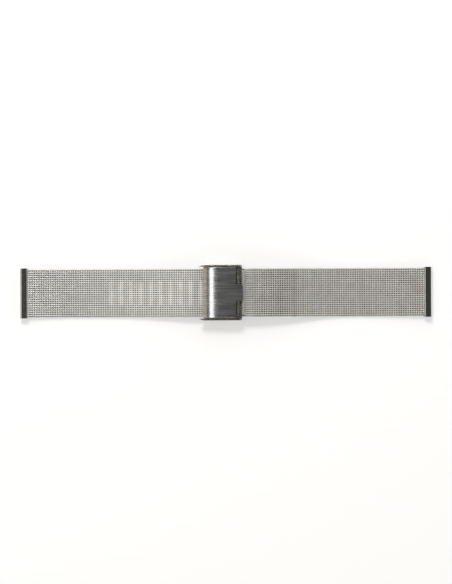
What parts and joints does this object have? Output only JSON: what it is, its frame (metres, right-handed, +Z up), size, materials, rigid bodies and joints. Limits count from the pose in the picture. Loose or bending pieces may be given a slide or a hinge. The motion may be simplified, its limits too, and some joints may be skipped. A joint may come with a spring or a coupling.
{
  "type": "milanese mesh watch band",
  "caption": "Woven steel mesh watch band: two flexible straps, straight tube ends and a sliding fold-over clasp with a hinged cover, a lock flap and a catch loop.",
  "frame": {"origin": "on the surface that the band lies on, under the middle of the band's box", "axes": "+X along the band towards the short strap, +Y across it, +Z up through the outer face, away from the wrist"},
  "size_m": [0.1646, 0.0222, 0.0066],
  "materials": {
    "mesh_steel": "woven steel wire, satin",
    "cap_steel": "polished steel",
    "cover_steel": "brushed along the band",
    "frame_steel": "satin sheet steel",
    "pin_steel": "drawn steel pin",
    "tube_steel": "drawn steel tube"
  },
  "bodies": {
    "clasp": {"clasp_frame": "frame_steel", "cover_hinge_pin": "pin_steel", "lock_flap_pin": "pin_steel", "guide_bar": "pin_steel"},
    "cover": {"clasp_cover": "cover_steel"},
    "lock": {"lock_flap": "frame_steel"},
    "core": {"long_strap_core": "mesh_steel"},
    "long_1": {"long_strap_1": "mesh_steel"},
    "long_2": {"long_strap_2": "mesh_steel"},
    "long_3": {"long_strap_3": "mesh_steel"},
    "long_4": {"long_strap_4": "mesh_steel"},
    "long_5": {"long_strap_5": "mesh_steel"},
    "long_6": {"long_strap_6": "mesh_steel"},
    "long_7": {"long_strap_7": "mesh_steel"},
    "long_8": {"long_strap_8": "mesh_steel", "long_end_cap": "cap_steel", "long_lug_tube": "tube_steel"},
    "tail_1": {"long_strap_tail_1": "mesh_steel"},
    "tail_2": {"long_strap_tail_2": "mesh_steel", "tail_tip": "mesh_steel"},
    "catch": {"catch_loop": "pin_steel", "short_strap_fold": "mesh_steel", "short_strap_base": "mesh_steel"},
    "short_1": {"short_strap_1": "mesh_steel"},
    "short_2": {"short_strap_2": "mesh_steel"},
    "short_3": {"short_strap_3": "mesh_steel"},
    "short_4": {"short_strap_4": "mesh_steel"},
    "short_5": {"short_strap_5": "mesh_steel"},
    "short_6": {"short_strap_6": "mesh_steel"},
    "short_7": {"short_strap_7": "mesh_steel"},
    "short_8": {"short_strap_8": "mesh_steel", "short_end_cap": "cap_steel", "short_lug_tube": "tube_steel"}
  },
  "joints": [
    {"name": "cover_hinge", "type": "hinge", "parent": "clasp", "child": "cover", "pos_m": [-0.0082, 0, 0.00455], "axis": [0, -1, 0], "range_deg": [0, 105]},
    {"name": "lock_flap_hinge", "type": "hinge", "parent": "clasp", "child": "lock", "pos_m": [-0.0076, 0, 0.00155], "axis": [0, 1, 0], "range_deg": [0, 75]},
    {"name": "clasp_position", "type": "slide", "parent": "clasp", "child": "core", "axis": [1, 0, 0], "range_m": [-0.004, 0.004]},
    {"name": "long_flex_1", "type": "hinge", "parent": "core", "child": "long_1", "pos_m": [-0.01372, 0, 0.0029], "axis": [0, 1, 0], "range_deg": [-18, 18]},
    {"name": "long_flex_2", "type": "hinge", "parent": "long_1", "child": "long_2", "pos_m": [-0.02197, 0, 0.00215], "axis": [0, 1, 0], "range_deg": [-18, 18]},
    {"name": "long_flex_3", "type": "hinge", "parent": "long_2", "child": "long_3", "pos_m": [-0.03021, 0, 0.00135], "axis": [0, 1, 0], "range_deg": [-18, 18]},
    {"name": "long_flex_4", "type": "hinge", "parent": "long_3", "child": "long_4", "pos_m": [-0.03847, 0, 0.00085], "axis": [0, 1, 0], "range_deg": [-18, 18]},
    {"name": "long_flex_5", "type": "hinge", "parent": "long_4", "child": "long_5", "pos_m": [-0.04675, 0, 0.00065], "axis": [0, 1, 0], "range_deg": [-18, 18]},
    {"name": "long_flex_6", "type": "hinge", "parent": "long_5", "child": "long_6", "pos_m": [-0.05503, 0, 0.0006], "axis": [0, 1, 0], "range_deg": [-18, 18]},
    {"name": "long_flex_7", "type": "hinge", "parent": "long_6", "child": "long_7", "pos_m": [-0.06331, 0, 0.00069], "axis": [0, 1, 0], "range_deg": [-18, 18]},
    {"name": "long_flex_8", "type": "hinge", "parent": "long_7", "child": "long_8", "pos_m": [-0.07158, 0, 0.00095], "axis": [0, 1, 0], "range_deg": [-18, 18]},
    {"name": "tail_flex_1", "type": "hinge", "parent": "core", "child": "tail_1", "pos_m": [0.01388, 0, 0.0029], "axis": [0, -1, 0], "range_deg": [-18, 18]},
    {"name": "tail_flex_2", "type": "hinge", "parent": "tail_1", "child": "tail_2", "pos_m": [0.02205, 0, 0.00153], "axis": [0, -1, 0], "range_deg": [-18, 18]},
    {"name": "catch_release", "type": "slide", "parent": "clasp", "child": "catch", "axis": [-0.5, 0, 0.866], "range_m": [0, 0.003]},
    {"name": "short_flex_1", "type": "hinge", "parent": "catch", "child": "short_1", "pos_m": [0.01388, 0, 0.00465], "axis": [0, -1, 0], "range_deg": [-18, 18]},
    {"name": "short_flex_2", "type": "hinge", "parent": "short_1", "child": "short_2", "pos_m": [0.02212, 0, 0.0038], "axis": [0, -1, 0], "range_deg": [-18, 18]},
    {"name": "short_flex_3", "type": "hinge", "parent": "short_2", "child": "short_3", "pos_m": [0.0303, 0, 0.00255], "axis": [0, -1, 0], "range_deg": [-18, 18]},
    {"name": "short_flex_4", "type": "hinge", "parent": "short_3", "child": "short_4", "pos_m": [0.03849, 0, 0.00135], "axis": [0, -1, 0], "range_deg": [-18, 18]},
    {"name": "short_flex_5", "type": "hinge", "parent": "short_4", "child": "short_5", "pos_m": [0.04675, 0, 0.0007], "axis": [0, -1, 0], "range_deg": [-18, 18]},
    {"name": "short_flex_6", "type": "hinge", "parent": "short_5", "child": "short_6", "pos_m": [0.05503, 0, 0.0006], "axis": [0, -1, 0], "range_deg": [-18, 18]},
    {"name": "short_flex_7", "type": "hinge", "parent": "short_6", "child": "short_7", "pos_m": [0.06331, 0, 0.00076], "axis": [0, -1, 0], "range_deg": [-18, 18]},
    {"name": "short_flex_8", "type": "hinge", "parent": "short_7", "child": "short_8", "pos_m": [0.07158, 0, 0.00099], "axis": [0, -1, 0], "range_deg": [-18, 18]}
  ],
  "couplings": [
    {"joint": "cover_hinge", "follows": "catch_release", "rad_per_m": 610},
    {"joint": "tail_flex_1", "follows": "short_flex_1", "ratio": 1},
    {"joint": "tail_flex_2", "follows": "short_flex_2", "ratio": 1}
  ]
}
